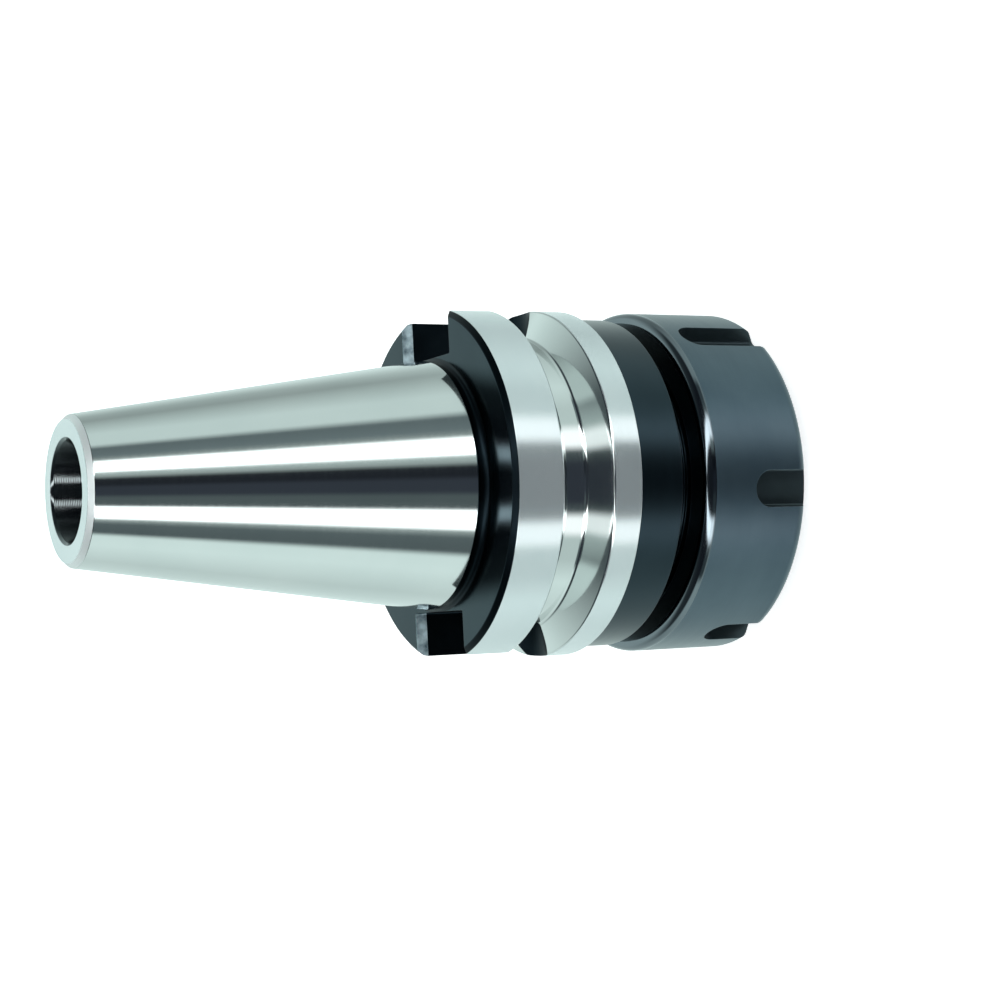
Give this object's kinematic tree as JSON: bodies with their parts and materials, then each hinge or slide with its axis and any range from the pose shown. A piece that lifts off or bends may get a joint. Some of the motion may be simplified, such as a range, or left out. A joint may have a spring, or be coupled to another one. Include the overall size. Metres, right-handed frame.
{
  "type": "collet chuck holder",
  "caption": "Tool holder with a steep spindle taper, a grooved flange with drive slots, and a slotted clamping nut over a slit spring collet.",
  "frame": {"origin": "centre of the clamping nut's front face, which the holder stands on", "axes": "+Z along the spindle axis towards the small end of the taper, +X through the middle of one drive slot"},
  "size_m": [0.063, 0.063, 0.1312],
  "materials": {
    "holder_steel": "ground, with blackened milled faces",
    "nut_steel": "satin black oxide",
    "collet_steel": "ground"
  },
  "bodies": {
    "holder": {"holder_body": "holder_steel"},
    "collet": {"collet": "collet_steel"},
    "nut": {"clamping_nut": "nut_steel"}
  },
  "joints": [
    {"name": "collet_travel", "type": "slide", "parent": "holder", "child": "collet", "axis": [0, 0, -1], "range_m": [0, 0.0083]},
    {"name": "nut_turn", "type": "hinge", "parent": "collet", "child": "nut", "pos_m": [0, 0, 0], "axis": [0, 0, -1], "range_deg": [0, 1980]}
  ],
  "couplings": [
    {"joint": "collet_travel", "follows": "nut_turn", "m_per_rad": 0.00023873}
  ]
}
